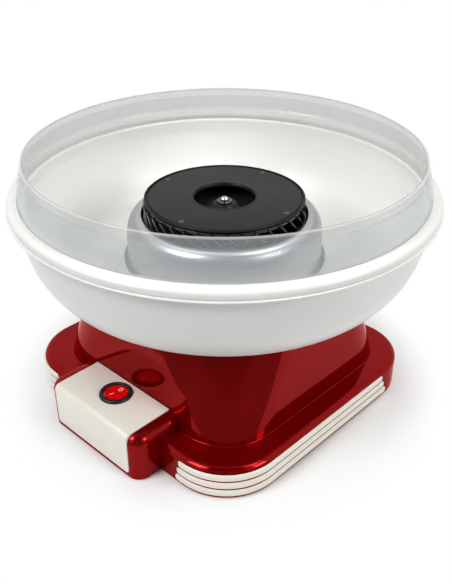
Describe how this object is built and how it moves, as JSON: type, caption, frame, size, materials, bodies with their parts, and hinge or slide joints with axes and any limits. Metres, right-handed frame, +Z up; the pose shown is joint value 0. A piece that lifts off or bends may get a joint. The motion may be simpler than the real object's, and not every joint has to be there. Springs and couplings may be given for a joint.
{
  "type": "cotton candy machine",
  "caption": "Table-top electric cotton candy machine: louvred sugar head spinning in an aluminium collar over a heating ring, lift-off bowl and clear guard ring, rocker switch at the front.",
  "frame": {"origin": "on the table, under the middle of the round bowl", "axes": "+Z up, -Y the front with the switch box, +X the right side seen from the front"},
  "size_m": [0.3, 0.3, 0.1889],
  "materials": {
    "red_gloss": "high gloss",
    "black_plastic": "satin",
    "rubber": "matt",
    "steel": "bright",
    "cream": "satin",
    "brass": "bright",
    "aluminium": "smooth, slightly brushed",
    "ceramic": "matt",
    "black_gloss": "semi gloss",
    "milk_white": "glossy, slightly translucent",
    "clear_guard": "clear",
    "switch_red": "glossy"
  },
  "bodies": {
    "base": {"housing": "red_gloss", "base_plate": "black_plastic", "switch_body": "black_plastic", "foot_1": "rubber", "foot_2": "rubber", "foot_3": "rubber", "foot_4": "rubber", "cord_grommet": "rubber", "base_screw_1": "steel", "base_screw_2": "steel", "base_screw_3": "steel", "base_screw_4": "steel", "motor_can": "steel", "motor_plate": "steel", "plate_screw_1": "steel", "plate_screw_2": "steel", "plate_screw_3": "steel", "motor_screw_1": "steel", "motor_screw_2": "steel", "collar_screw_1": "steel", "collar_screw_2": "steel", "collar_screw_3": "steel", "heating_ring": "steel", "strip_right_1": "cream", "strip_right_2": "cream", "strip_right_3": "cream", "strip_left_1": "cream", "strip_left_2": "cream", "strip_left_3": "cream", "switch_panel": "cream", "switch_blade_1": "brass", "switch_blade_2": "brass", "motor_bush": "brass", "collar": "aluminium", "heater_plate": "aluminium", "heater_post_1": "ceramic", "heater_post_2": "ceramic", "heater_post_3": "ceramic", "ring_insulator_1": "ceramic", "ring_insulator_2": "ceramic", "ring_insulator_3": "ceramic"},
    "rotor": {"motor_shaft": "steel", "drive_pin": "steel"},
    "head": {"head_bush": "brass", "sugar_pan": "black_gloss", "fin_ring": "black_gloss", "head_cover": "black_gloss", "head_washer": "steel", "head_screw": "steel"},
    "bowl": {"bowl": "milk_white"},
    "guard": {"guard": "clear_guard"},
    "rocker": {"rocker": "switch_red"}
  },
  "joints": [
    {"name": "rotor_spin", "type": "hinge", "parent": "base", "child": "rotor", "pos_m": [0, 0, 0.1], "axis": [0, 0, 1], "continuous": true},
    {"name": "head_lift", "type": "slide", "parent": "rotor", "child": "head", "axis": [0, 0, 1], "range_m": [0, 0.05]},
    {"name": "bowl_lift", "type": "slide", "parent": "base", "child": "bowl", "axis": [0, 0, 1], "range_m": [0, 0.12]},
    {"name": "guard_lift", "type": "slide", "parent": "bowl", "child": "guard", "axis": [0, 0, 1], "range_m": [0, 0.06]},
    {"name": "rocker_tilt", "type": "hinge", "parent": "base", "child": "rocker", "pos_m": [0, -0.1093, 0.0363], "axis": [1, 0, 0], "range_deg": [0, 14]}
  ]
}
